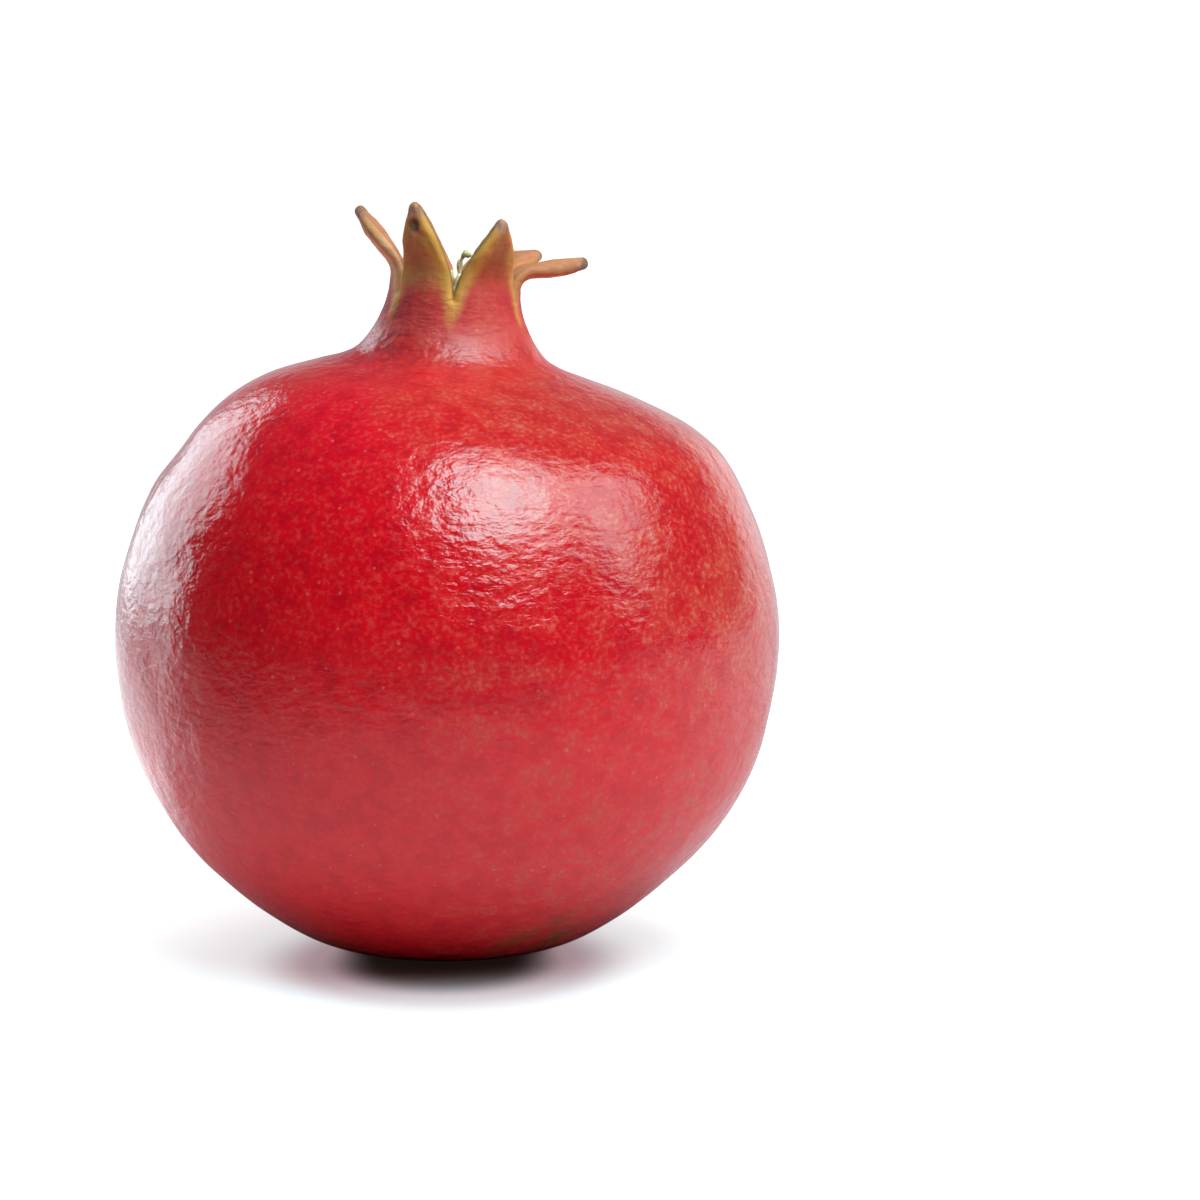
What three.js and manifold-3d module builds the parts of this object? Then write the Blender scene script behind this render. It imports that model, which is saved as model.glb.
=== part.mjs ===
// Pomegranate: the whole, unopened fruit with its crown.
//
// Units are millimetres and +Z is up. The origin is on the floor, under the middle of the belly,
// so the fruit rests on the flat ring round its stem scar. Azimuth 0 is the -Y side and 90 is +X.
//
// rind     the leathery skin with the neck and the six sepals of the crown, all one piece
// stamens  the dried stamens and the style that stay in the cup of the crown

import * as THREE from "three";
import { mergeVertices } from "three/addons/utils/BufferGeometryUtils.js";
import Module from "manifold-3d";

const wasm = await Module();
wasm.setup();

// ---------------------------------------------------------------- driving dimensions

const BELLY_RADIUS = 47.2;
const BELLY_HEIGHT = 47.2;
const REST_RADIUS = 10; // outer edge of the flat ring that the fruit rests on
const NECK_RADIUS = 9.4; // the narrowest place, just under the sepals
const NOTCH_HEIGHT = 94.2; // where neighbouring sepals part

// Half the outline of the skin, from the resting ring to the sepals: [radius, height].
const OUTLINE = [
  [REST_RADIUS, 0],
  [15, 0.6],
  [20.8, 2.6],
  [30.6, 9.3],
  [39, 18],
  [45.2, 30.4],
  [BELLY_RADIUS, BELLY_HEIGHT],
  [45.2, 58],
  [41, 68.3],
  [35, 75.8],
  [27.5, 80.5],
  [20, 83.2],
  [16, 84.5],
  [13.4, 86],
  [11.2, 89],
  [9.9, 92],
  [NECK_RADIUS, NOTCH_HEIGHT],
];
const ROW_STEP = 4.6; // the longest row of the skin on the belly
const NECK_ROW_STEP = 2.2; // and on the neck, which is more curved
const NECK_FROM = 82;

// The woody scar of the fruit stem, dished into the bottom: [radius, height].
const SCAR = [
  [0, 0.9],
  [2.4, 0.9],
  [2.9, 1.6],
  [4.2, 1.2],
  [5.5, 0.3],
  [6.5, 0],
];

// The top of the fruit leans towards +X.
const LEAN_DEGREES = 4.7;
const LEAN_FROM = 70;
const LEAN_TO = 84;

// Low swellings over the seed chambers and a slightly uneven girth.
const CHAMBERS = 6;
const CHAMBER_AZIMUTH = 30;
const CHAMBER_SWELL = 0.35;
const GIRTH_SWELL = 0.3;

// The shoulders sit a little off the axis, towards +X.
const SHOULDER_SHIFT = 0.8;
const SHOULDER_FROM = 62;
const SHOULDER_TO = 94;

// The crown. A sepal's length, lean and curl run along its middle line; sway is sideways.
const WALL = 2.2; // thickness of the neck under the sepals
const SEPAL_WALL = 1.4; // thickness of a sepal above its base
const FLESHY_WALL = 2.3; // the upper part is fleshier again
const TIP_WALL = 1.6;
const EDGE_ROUNDING = 0.9;
const TIP_RADIUS = 0.58;
const SEPALS = [
  { from: 0, to: 71, length: 12.2, lean: 15, bend: 5, curl: 0, taper: 1.15, sway: -0.3, twist: 0, cupped: 1 },
  { from: 71, to: 120, length: 13.1, lean: 75, bend: 5.5, curl: 0, taper: 0.8, sway: 0, twist: -6, cupped: 1.6 },
  { from: 120, to: 181, length: 12.4, lean: 80, bend: 5.5, curl: -8, taper: 0.8, sway: -3, twist: 0, cupped: 1.2 },
  { from: 181, to: 241, length: 10.4, lean: 26, bend: 5, curl: -6, taper: 0.9, sway: 0.5, twist: 5, cupped: 1 },
  { from: 241, to: 300, length: 13.4, lean: 38, bend: 6, curl: 0, taper: 0.8, sway: 0, twist: 6, cupped: 1.4 },
  { from: 300, to: 360, length: 13.6, lean: 13, bend: 5, curl: 0, taper: 0.95, sway: -1.3, twist: 0, cupped: 1 },
];
const SEPAL_COLUMNS = 12;
const SEPAL_ROWS = 10;

// The cup inside the neck, from the rim down to its floor: [wall thickness, height].
const CUP = [
  [WALL + 0.1, 93.2],
  [WALL + 0.5, 91.2],
  [WALL + 1.4, 88.4],
  [WALL + 3.6, 85.6],
  [WALL + 7.2, 83.9],
];
const CUP_FLOOR = 83.4;

// The stamens.
const STAMEN_COUNT = 46;
const TALL_STAMENS = [1, 4]; // two of those near the middle stand above the notches
const TALL_RISE = 4.2;
const STAMEN_RADIUS = 0.42;
const STAMEN_SIDES = 4;
const ANTHER_RADIUS = 0.7;
const PAD_RADIUS = 3.6;
const PAD_THICKNESS = 1.4;
const CLEARANCE = 0.4;
const SEED = 7;

// ---------------------------------------------------------------- small helpers

const { sin, cos, abs, min, max, sqrt, hypot, PI } = Math;
const radians = THREE.MathUtils.degToRad;
const lerp = THREE.MathUtils.lerp;
const smooth = THREE.MathUtils.smoothstep;

// A quarter circle: 0 at the edge, 1 from `x` = 1 inwards.
const rounded = (x) => sqrt(1 - (1 - min(max(x, 0), 1)) ** 2);

// Leans the top of the fruit: each level is turned about Y and moved along a smooth centre line.
function leanOver([x, y, z]) {
  const t = min(max((z - LEAN_FROM) / (LEAN_TO - LEAN_FROM), 0), 1);
  const full = radians(LEAN_DEGREES);
  const turn = full * t * t * (3 - 2 * t);
  const drift = full * ((LEAN_TO - LEAN_FROM) * (t ** 3 - t ** 4 / 2) + max(z - LEAN_TO, 0));
  return [x * cos(turn) + drift, y, z - x * sin(turn)];
}

// A point at an azimuth, a distance out from the axis and a distance along the tangent.
function polar(azimuth, out, along, height) {
  const a = radians(azimuth);
  return [out * sin(a) + along * cos(a), -out * cos(a) + along * sin(a), height];
}

// A seeded draw between 0 and 1.
function makeDraw(seed) {
  let state = seed;
  return () => {
    state = (state * 1664525 + 1013904223) % 4294967296;
    return state / 4294967296;
  };
}

// Collects vertices and faces of one closed surface.
class Skin {
  constructor() {
    this.points = [];
    this.faces = [];
  }
  add(point) {
    this.points.push(...point);
    return this.points.length / 3 - 1;
  }
  // A band of faces between two rows of the same length, the first below the second.
  band(low, high, flip = false) {
    for (let i = 0; i + 1 < low.length; i++) {
      this.face(low[i], low[i + 1], high[i + 1], flip);
      this.face(low[i], high[i + 1], high[i], flip);
    }
  }
  face(a, b, c, flip) {
    if (a === b || b === c || c === a) return;
    this.faces.push(...(flip ? [a, c, b] : [a, b, c]));
  }
  geometry() {
    const geometry = new THREE.BufferGeometry();
    geometry.setAttribute("position", new THREE.Float32BufferAttribute(this.points, 3));
    geometry.setIndex(this.faces);
    geometry.computeVertexNormals();
    return geometry;
  }
}

// ---------------------------------------------------------------- the rind

const outlineCurve = new THREE.CatmullRomCurve3(
  OUTLINE.map(([r, z]) => new THREE.Vector3(r, 0, z)),
  false,
  "centripetal",
);

// The outline's point on its span `i`, at a share `t` of it.
function outlinePoint(i, t) {
  const p = outlineCurve.getPoint((i + t) / (OUTLINE.length - 1));
  return [p.x, p.z];
}

// The outline's radius at a height above the belly.
function radiusAt(height) {
  const above = OUTLINE.findIndex(([, z]) => z >= height);
  const span = Math.max(above - 1, 0);
  let [low, high] = [0, 1];
  for (let i = 0; i < 30; i++) {
    const half = (low + high) / 2;
    if (outlinePoint(span, half)[1] < height) low = half;
    else high = half;
  }
  return outlinePoint(span, low)[0];
}

// Rows of the skin from the resting ring up to the notches, closest together where it curves most.
function outlineRows() {
  const rows = [];
  for (let i = 0; i + 1 < OUTLINE.length; i++) {
    const [[r0, z0], [r1, z1]] = OUTLINE.slice(i, i + 2);
    const steps = Math.ceil(hypot(r1 - r0, z1 - z0) / (z0 < NECK_FROM ? ROW_STEP : NECK_ROW_STEP));
    for (let k = 0; k < steps; k++) rows.push(outlinePoint(i, k / steps));
  }
  const nearRim = [1, 0.4].map((share) => NOTCH_HEIGHT - share * EDGE_ROUNDING);
  const below = rows.filter(([, z]) => z < NOTCH_HEIGHT - 1.5 * EDGE_ROUNDING);
  return [...below, ...nearRim.map((height) => [radiusAt(height), height])];
}

// How far the skin swells out at an azimuth and height: nothing at the bottom and at the neck.
function swell(azimuth, height) {
  const a = radians(azimuth);
  const up = height / BELLY_HEIGHT;
  const girth = sin(PI * min(max(up / 1.8, 0), 1)) ** 2;
  const chambers = cos(CHAMBERS * (a - radians(CHAMBER_AZIMUTH))) * CHAMBER_SWELL;
  const uneven = (sin(2 * a) + cos(3 * a + up)) * GIRTH_SWELL;
  const shoulder = sin(PI * min(max((height - SHOULDER_FROM) / (SHOULDER_TO - SHOULDER_FROM), 0), 1)) ** 2;
  return girth * (chambers + uneven) + shoulder * SHOULDER_SHIFT * sin(a);
}

// Where a column lies across its sepal, from -1 to 1: closer together towards the edges.
function acrossAt(j) {
  const even = (2 * j) / SEPAL_COLUMNS - 1;
  return lerp(even, sin((PI / 2) * even), 0.6);
}

// Columns of the crown: the sepal each one runs up, and where it lies across that sepal.
const COLUMNS = SEPALS.flatMap((sepal) =>
  Array.from({ length: SEPAL_COLUMNS }, (_, j) => ({ sepal, across: acrossAt(j) })),
);

const middle = (sepal) => (sepal.from + sepal.to) / 2;
const halfSpan = (sepal) => (sepal.to - sepal.from) / 2;

// The azimuth of a column: evenly spread on the belly, gathered to the sepals at the crown.
function columnAzimuth(index, height) {
  const { sepal, across } = COLUMNS[index];
  const spread = (360 * index) / COLUMNS.length;
  const gathered = middle(sepal) + halfSpan(sepal) * across;
  return lerp(spread, gathered, smooth(height, BELLY_HEIGHT, NOTCH_HEIGHT - 6));
}

// Round the notches the wall thins to nothing: the share of full thickness, from 0 to 1.
function notchRounding({ sepal, across }, depth) {
  const aside = (1 - abs(across)) * radians(halfSpan(sepal)) * NECK_RADIUS;
  return rounded(hypot(aside, depth) / EDGE_ROUNDING);
}

// A closed row round the fruit; `wall` is how far inside the outline it runs.
function wallRow(skin, radius, height, side, wall) {
  const row = COLUMNS.map((column, index) => {
    const azimuth = columnAzimuth(index, height);
    const share = notchRounding(column, NOTCH_HEIGHT - height);
    const thick = side > 0 ? WALL : wall;
    const half = (thick / 2) * share;
    const out = radius - thick / 2 + side * half + swell(azimuth, height);
    return skin.add(leanOver(polar(azimuth, out, 0, height)));
  });
  return [...row, row[0]];
}

// The place of a sepal's middle line at a length above the notch, and how far it leans there.
function middleLine(sepal, along) {
  const steps = 24;
  let out = NECK_RADIUS - WALL / 2;
  let height = NOTCH_HEIGHT;
  const leanAt = (l) => radians(sepal.lean * smooth(l, 0, sepal.bend) + sepal.curl * (l / sepal.length) ** 2);
  for (let i = 0; i < steps; i++) {
    const lean = leanAt((along * (i + 0.5)) / steps);
    out += (sin(lean) * along) / steps;
    height += (cos(lean) * along) / steps;
  }
  return { out, height, lean: leanAt(along) };
}

// Half the width of a sepal at a share `s` of its length, with a rounded tip.
function halfWidth(sepal, s) {
  const base = radians(halfSpan(sepal)) * (NECK_RADIUS - WALL / 2);
  const taper = (1 - s ** 1.7) ** sepal.taper;
  const cap = 1 - (1.3 * TIP_RADIUS) / sepal.length;
  return (TIP_RADIUS + (base - TIP_RADIUS) * taper) * rounded((1 - s) / (1 - cap));
}

// Thickness in the middle of a sepal: thinner than the neck's wall, and fleshy again at the tip.
function sepalThickness(sepal, s) {
  const cap = (1.3 * TIP_RADIUS) / sepal.length;
  const blade = lerp(WALL, SEPAL_WALL, smooth(s, 0, 0.3));
  const fleshy = lerp(blade, FLESHY_WALL, smooth(s, 0.3, 0.65));
  return lerp(fleshy, TIP_WALL, smooth(s, 0.72, 0.96)) * rounded((1 - s) / cap);
}

// A point of a sepal: `s` along it, `across` it from -1 to 1, on its outer (1) or inner (-1) face.
function sepalPoint(sepal, s, across, side) {
  const { out, height, lean } = middleLine(sepal, s * sepal.length);
  const width = halfWidth(sepal, s);
  // Its cross-section starts with the neck's roundness, and curls up more towards the tip.
  const bow = (NECK_RADIUS - WALL / 2) / lerp(1, sepal.cupped, smooth(s, 0, 0.5));
  const turn = (across * width) / bow;
  const edge = ((1 - abs(across)) * width) / max(min(EDGE_ROUNDING, width), 1e-6);
  const half = (side * sepalThickness(sepal, s) * rounded(edge)) / 2;
  // In the sepal's own cross-section: sideways, and outwards along its normal.
  const sideways = (bow + half) * sin(turn) + sepal.sway * s * s;
  const outwards = (bow + half) * cos(turn) - bow;
  const twist = radians(sepal.twist) * s;
  const alongTangent = sideways * cos(twist) + outwards * sin(twist);
  const alongNormal = outwards * cos(twist) - sideways * sin(twist);
  const x = out + alongNormal * cos(lean);
  const z = height - alongNormal * sin(lean);
  return leanOver(polar(middle(sepal), x, alongTangent, z));
}

// Shares of the length at which a sepal has its rows, closer together towards the tip.
const sepalShares = Array.from({ length: SEPAL_ROWS - 1 }, (_, i) => 1 - (1 - (i + 1) / SEPAL_ROWS) ** 1.5);

// One sepal on its stretch of the outer and the inner row at the notches.
function addSepal(skin, sepal, outer, inner) {
  const turns = COLUMNS.slice(0, SEPAL_COLUMNS).map((column) => column.across);
  let low = { outer, inner };
  for (const s of sepalShares) {
    const left = skin.add(sepalPoint(sepal, s, -1, 1));
    const right = skin.add(sepalPoint(sepal, s, 1, 1));
    const face = (side) => turns.slice(1).map((across) => skin.add(sepalPoint(sepal, s, across, side)));
    const high = { outer: [left, ...face(1), right], inner: [left, ...face(-1), right] };
    skin.band(low.outer, high.outer);
    skin.band(low.inner, high.inner, true);
    low = high;
  }
  const tip = skin.add(sepalPoint(sepal, 1, 0, 1));
  const point = Array(SEPAL_COLUMNS + 1).fill(tip);
  skin.band(low.outer, point);
  skin.band(low.inner, point, true);
}

function makeRind() {
  const skin = new Skin();
  const pole = (height) => Array(COLUMNS.length + 1).fill(skin.add(leanOver([0, 0, height])));

  // The outside, from the middle of the scar up to the notches.
  let low = pole(SCAR[0][1]);
  for (const [radius, height] of [...SCAR.slice(1), ...outlineRows()]) {
    const row = wallRow(skin, radius, height, 1);
    skin.band(low, row);
    low = row;
  }
  const outer = wallRow(skin, NECK_RADIUS, NOTCH_HEIGHT, 1);
  skin.band(low, outer);

  // At the notches the inner row shares the outer row's points.
  const inner = wallRow(skin, NECK_RADIUS, NOTCH_HEIGHT, -1, WALL);
  for (let i = 0; i < inner.length; i += SEPAL_COLUMNS) inner[i] = outer[i];
  SEPALS.forEach((sepal, i) => {
    const stretch = (row) => row.slice(i * SEPAL_COLUMNS, (i + 1) * SEPAL_COLUMNS + 1);
    addSepal(skin, sepal, stretch(outer), stretch(inner));
  });

  // The cup, from the notches down to the middle of its floor.
  low = inner;
  for (const [wall, height] of CUP) {
    const row = wallRow(skin, radiusAt(height), height, -1, wall);
    skin.band(low, row);
    low = row;
  }
  skin.band(low, pole(CUP_FLOOR));
  return skin.geometry();
}

// ---------------------------------------------------------------- the stamens

// The room inside the cup at a height, measured from its axis.
function cupRadius(height) {
  const rim = NECK_RADIUS - WALL;
  if (height >= CUP[0][1]) return rim;
  const below = CUP.findIndex(([, z]) => z <= height);
  if (below < 0) return 0;
  const [[w1, z1], [w0, z0]] = CUP.slice(below - 1, below + 1);
  return radiusAt(height) - lerp(w0, w1, (height - z0) / (z1 - z0));
}

const toManifold = (geometry) => {
  geometry.deleteAttribute("normal");
  geometry.deleteAttribute("uv");
  const merged = mergeVertices(geometry, 1e-5);
  return new wasm.Manifold(
    new wasm.Mesh({
      numProp: 3,
      vertProperties: new Float32Array(merged.attributes.position.array),
      triVerts: new Uint32Array(merged.index.array),
    }),
  );
};

// A stamen: a bent thread with a swollen end. `ring` gives its radius at each level.
function makeStamen({ azimuth, root, spread, top, swing, thick }) {
  const skin = new Skin();
  const base = CUP_FLOOR + 2 * CLEARANCE;
  const levels = [0, 0.3, 0.6, 0.86, 0.93, 1];
  const widths = [1, 1, 0.9, 1, ANTHER_RADIUS / STAMEN_RADIUS, ANTHER_RADIUS / STAMEN_RADIUS];
  let low = null;
  levels.forEach((t, i) => {
    const height = lerp(base, top, t);
    const out = lerp(root, spread, sin((PI / 2) * t));
    const side = swing * sin(PI * t);
    const radius = thick * widths[i];
    const row = Array.from({ length: STAMEN_SIDES }, (_, k) => {
      const a = (2 * PI * (k + 0.5)) / STAMEN_SIDES;
      return skin.add(leanOver(polar(azimuth, out + radius * cos(a), side + radius * sin(a), height)));
    });
    row.push(row[0]);
    if (low) skin.band(low, row);
    else row.slice(1, -2).forEach((p, k) => skin.face(row[0], row[k + 2], row[k + 1]));
    low = row;
  });
  const tip = skin.add(leanOver(polar(azimuth, spread, 0, top + thick)));
  skin.band(low, Array(STAMEN_SIDES + 1).fill(tip));
  return toManifold(skin.geometry());
}

// Where each stamen stands: a sunflower spiral over the pad, with a seeded unevenness.
function stamenPlan() {
  const draw = makeDraw(SEED);
  return Array.from({ length: STAMEN_COUNT }, (_, i) => {
    const share = sqrt((i + 0.5) / STAMEN_COUNT);
    const tall = TALL_STAMENS.includes(i) ? TALL_RISE : 0;
    const top = lerp(96.5, 91.5, share) + 2.5 * draw() + tall;
    const reach = cupRadius(NOTCH_HEIGHT) - CLEARANCE - 1.4 * ANTHER_RADIUS;
    return {
      azimuth: 137.508 * i + 20 * draw(),
      root: share * (PAD_RADIUS - STAMEN_RADIUS),
      spread: reach * min(share + 0.1 * (draw() - 0.5), 1),
      top,
      swing: 1.2 * (draw() - 0.5),
      thick: STAMEN_RADIUS,
    };
  });
}

function makeStamens() {
  const pad = new THREE.CylinderGeometry(PAD_RADIUS, PAD_RADIUS - 0.6, PAD_THICKNESS, 24);
  pad.rotateX(PI / 2);
  const [x, y, z] = leanOver([0, 0, CUP_FLOOR + CLEARANCE + PAD_THICKNESS / 2 + 0.3]);
  pad.rotateY(radians(LEAN_DEGREES));
  pad.translate(x, y, z);
  let bunch = toManifold(pad);
  for (const stamen of stamenPlan()) bunch = bunch.add(makeStamen(stamen));
  const style = { azimuth: 0, root: 0, spread: 0.4, top: 95, swing: 0.4, thick: 0.8 };
  bunch = bunch.add(makeStamen(style));
  const { vertProperties, triVerts } = bunch.getMesh();
  const geometry = new THREE.BufferGeometry();
  geometry.setAttribute("position", new THREE.Float32BufferAttribute(vertProperties, 3));
  geometry.setIndex(new THREE.Uint32BufferAttribute(triVerts, 1));
  geometry.computeVertexNormals();
  return geometry;
}

// ---------------------------------------------------------------- the fruit

function makePiece(name, geometry, color, roughness) {
  const material = new THREE.MeshStandardMaterial({ color, roughness, metalness: 0 });
  const mesh = new THREE.Mesh(geometry, material);
  mesh.name = name;
  return mesh;
}

const pomegranate = new THREE.Group();
pomegranate.add(makePiece("rind", makeRind(), 0xc01824, 0.4));
pomegranate.add(makePiece("stamens", makeStamens(), 0xb08a4a, 0.85));

export default pomegranate;
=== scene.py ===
# A whole pomegranate on a pale studio floor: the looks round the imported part.
#
# Lengths are in millimetres until a mesh, light or camera is made, and in metres from there on.
# Azimuth 0 is the -Y side, which faces the camera, and 90 is +X.

from math import ceil, cos, pi, radians, sin, sqrt

import bpy
import numpy as np
from mathutils import Matrix, Vector, noise


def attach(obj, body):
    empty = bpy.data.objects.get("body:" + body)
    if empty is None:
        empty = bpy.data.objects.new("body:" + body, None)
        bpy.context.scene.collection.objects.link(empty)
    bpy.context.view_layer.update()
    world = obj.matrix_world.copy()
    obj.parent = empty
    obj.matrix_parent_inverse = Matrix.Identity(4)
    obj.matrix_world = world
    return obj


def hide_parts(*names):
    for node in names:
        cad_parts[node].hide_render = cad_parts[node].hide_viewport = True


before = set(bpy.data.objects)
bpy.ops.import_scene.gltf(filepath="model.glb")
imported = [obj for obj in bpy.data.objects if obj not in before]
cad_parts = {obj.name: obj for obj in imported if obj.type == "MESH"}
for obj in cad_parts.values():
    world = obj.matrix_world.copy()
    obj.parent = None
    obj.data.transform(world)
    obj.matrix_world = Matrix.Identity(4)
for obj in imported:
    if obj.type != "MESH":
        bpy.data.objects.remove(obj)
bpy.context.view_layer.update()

MM = 0.001

# ---------------------------- the fruit's sizes

BELLY_RADIUS = 47.2
BELLY_HEIGHT = 47.2
REST_RADIUS = 10.0
NECK_RADIUS = 9.4
NOTCH_HEIGHT = 94.2

# Half the outline of the skin, from the resting ring to the sepals: (radius, height).
OUTLINE = np.array([
    (REST_RADIUS, 0), (15, 0.6), (20.8, 2.6), (30.6, 9.3), (39, 18), (45.2, 30.4),
    (BELLY_RADIUS, BELLY_HEIGHT), (45.2, 58), (41, 68.3), (35, 75.8), (27.5, 80.5), (20, 83.2),
    (16, 84.5), (13.4, 86), (11.2, 89), (9.9, 92), (NECK_RADIUS, NOTCH_HEIGHT),
], float)

# The woody scar of the fruit stem, dished into the bottom: (radius, height).
SCAR = np.array([(0, 0.9), (2.4, 0.9), (2.9, 1.6), (4.2, 1.2), (5.5, 0.3), (6.5, 0)], float)

LEAN_DEGREES = 4.7  # the top of the fruit leans towards +X
LEAN_FROM = 70.0
LEAN_TO = 84.0

# Low swellings over the seed chambers and a slightly uneven girth, both gone at GIRTH_TOP.
CHAMBERS = 6
CHAMBER_AZIMUTH = 30.0
CHAMBER_SWELL = 0.35
GIRTH_SWELL = 0.3
GIRTH_TOP = 1.8  # in belly heights

# The shoulders sit a little off the axis, towards +X.
SHOULDER_SHIFT = 0.8
SHOULDER_FROM = 62.0
SHOULDER_TO = 94.0

WALL = 2.2  # thickness of the neck under the sepals
SEPAL_WALL = 1.4  # thickness of a sepal above its base
FLESHY_WALL = 2.3  # the upper part is fleshier again
TIP_WALL = 1.6
EDGE_ROUNDING = 0.9
TIP_RADIUS = 0.58
TIP_CAP = 1.3  # length of the rounded tip, in tip radii
TAPER_POWER = 1.7  # above 1, a sepal keeps its width longer and then narrows faster


def table(names, rows):
    return [dict(zip(names, row)) for row in rows]


# The sepals, in the order of their azimuths. Lean and curl, in degrees, run along a sepal's middle
# line, and the lean is full after bend millimetres. Sway is sideways; cupped tightens its bow.
SEPALS = table(
    ("start", "end", "length", "lean", "bend", "curl", "taper", "sway", "twist", "cupped"),
    [
        (0, 71, 12.2, 15, 5, 0, 1.15, -0.3, 0, 1),
        (71, 120, 13.1, 75, 5.5, 0, 0.8, 0, -6, 1.6),
        (120, 181, 12.4, 80, 5.5, -8, 0.8, -3, 0, 1.2),
        (181, 241, 10.4, 26, 5, -6, 0.9, 0.5, 5, 1),
        (241, 300, 13.4, 38, 6, 0, 0.8, 0, 6, 1.4),
        (300, 360, 13.6, 13, 5, 0, 0.95, -1.3, 0, 1),
    ],
)
# How each sepal looks: dry is peach all round, pale is how light the peach is, reach is how far
# the red climbs it, and shift moves its red middle to one side.
LOOKS = table(
    ("dry", "pale", "reach", "shift"),
    [
        (0.0, 0.0, 1.6, 0.03),
        (1.0, 0.1, 1.0, 0.0),
        (0.8, 0.1, 1.0, 0.0),
        (0.5, 0.5, 1.5, 0.1),
        (1.0, 1.0, 0.5, 0.0),
        (0.0, 0.0, -0.4, 0.22),
    ],
)
# A dark dent under the tip of the last sepal: across it, and above the notch.
PIT = (-0.1, 10.5)
PIT_HALF_WIDTH = 0.8
PIT_DEPTH = 0.3

# The cup inside the neck, from the rim down to its floor: (wall thickness, height).
CUP = [
    (WALL + 0.1, 93.2),
    (WALL + 0.5, 91.2),
    (WALL + 1.4, 88.4),
    (WALL + 3.6, 85.6),
    (WALL + 7.2, 83.9),
]
CUP_FLOOR = 83.4

# Unevenness, as (depth, size, octaves, seed): dents and puckers of the belly, ridges up the neck
# and rings round it, and lumps and wrinkles of the sepals.
DENTS = (0.34, 15, 2, 1)
PUCKERS = (0.05, 4.2, 2, 2)
RIDGES = (0.07, 1.3, 2, 3)
RINGS = (0.03, 1.0, 2, 4)
SEPAL_LUMPS = (0.14, 2.2, 2, 5)
SEPAL_WRINKLES = (0.05, 0.7, 1, 15)
SEED_SHIFT = (17.3, -9.1, 5.7)
RIDGE_STRETCH = 5  # ridges are drawn out upwards
RING_SQUASH = (0.35, 0.35, 1.6)
WRINKLE_SQUASH = (1, 1, 0.6)

# How finely the skin is drawn.
SEPAL_COLUMNS = 52
SEPAL_ROWS = 34
ROW_STEP = 0.86
NECK_ROW_STEP = 0.4
NECK_FROM = 82.0
SCAR_STEPS = 6  # rows between two points of the scar's outline
CUP_STEPS = (0.34, 0.67, 1.0)
NOTCH_CLEAR = 1.3  # the even rows end this far below the notches, in edge roundings
NOTCH_ROWS = (1.15, 1, 0.86, 0.72, 0.58, 0.45, 0.33, 0.22, 0.13, 0.05)  # the rows above them
ARC_STEPS = 24
SEPAL_APART = 9.0  # keeps the fibres of one sepal from matching those of the next

# ---------------------------- small helpers


def smooth(x, low, high):
    """0 up to low, 1 from high on, and a smooth step between them."""
    t = np.clip((np.asarray(x, float) - low) / (high - low), 0, 1)
    return t * t * (3 - 2 * t)


def rounded(x):
    """A quarter circle: 0 at the edge, 1 from x = 1 inwards."""
    return np.sqrt(1 - (1 - np.clip(x, 0, 1)) ** 2)


def mix(a, b, share):
    """The value at a share of the way from a to b."""
    return a + (b - a) * share


def lean_over(points):
    """Leans the top of the fruit: each level turns about Y and moves along a smooth centre line."""
    x, y, z = points[..., 0], points[..., 1], points[..., 2]
    t = np.clip((z - LEAN_FROM) / (LEAN_TO - LEAN_FROM), 0, 1)
    full = radians(LEAN_DEGREES)
    turn = full * t * t * (3 - 2 * t)
    drift = full * ((LEAN_TO - LEAN_FROM) * (t**3 - t**4 / 2) + np.maximum(z - LEAN_TO, 0))
    return np.stack([x * np.cos(turn) + drift, y, z - x * np.sin(turn)], -1)


def polar(azimuth, out, along, height):
    """A point at an azimuth, a distance out from the axis and a distance along the tangent."""
    a = np.radians(azimuth)
    x = out * np.sin(a) + along * np.cos(a)
    y = -out * np.cos(a) + along * np.sin(a)
    return np.stack(np.broadcast_arrays(x, y, height), -1)


def lumps(points, kind, index=0):
    """Smooth unevenness of one kind at each point; index gives one more draw of the same kind."""
    depth, size, octaves, seed = kind
    shift = Vector([part * (seed + index) for part in SEED_SHIFT])
    flat = np.asarray(points, float).reshape(-1, 3) / size
    values = [noise.fractal(Vector(p) + shift, 1.0, 2.0, octaves) for p in flat]
    return depth * np.array(values).reshape(np.shape(points)[:-1])


# ---------------------------- the outline of the skin


def outline_points(span, share):
    """Points on the smooth curve through OUTLINE, on one span of it."""
    ends = np.vstack([2 * OUTLINE[0] - OUTLINE[1], OUTLINE, 2 * OUTLINE[-1] - OUTLINE[-2]])
    p0, p1, p2, p3 = ends[span : span + 4]
    d0, d1, d2 = (sqrt(np.linalg.norm(b - a)) for a, b in ((p0, p1), (p1, p2), (p2, p3)))
    m1 = (p2 - p1) + d1 * ((p1 - p0) / d0 - (p2 - p0) / (d0 + d1))
    m2 = (p2 - p1) + d1 * ((p3 - p2) / d2 - (p3 - p1) / (d1 + d2))
    t = np.asarray(share, float)[..., None]
    rise = (2 * t**3 - 3 * t**2 + 1) * p1 + (t**3 - 2 * t**2 + t) * m1
    return rise + (-2 * t**3 + 3 * t**2) * p2 + (t**3 - t**2) * m2


def radius_at(height):
    """The outline's radius at a height on the neck, which takes up its last six spans."""
    last = len(OUTLINE) - 1
    curve = np.vstack([outline_points(i, np.linspace(0, 1, 60)) for i in range(last - 6, last)])
    return float(np.interp(height, curve[:, 1], curve[:, 0]))


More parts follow.
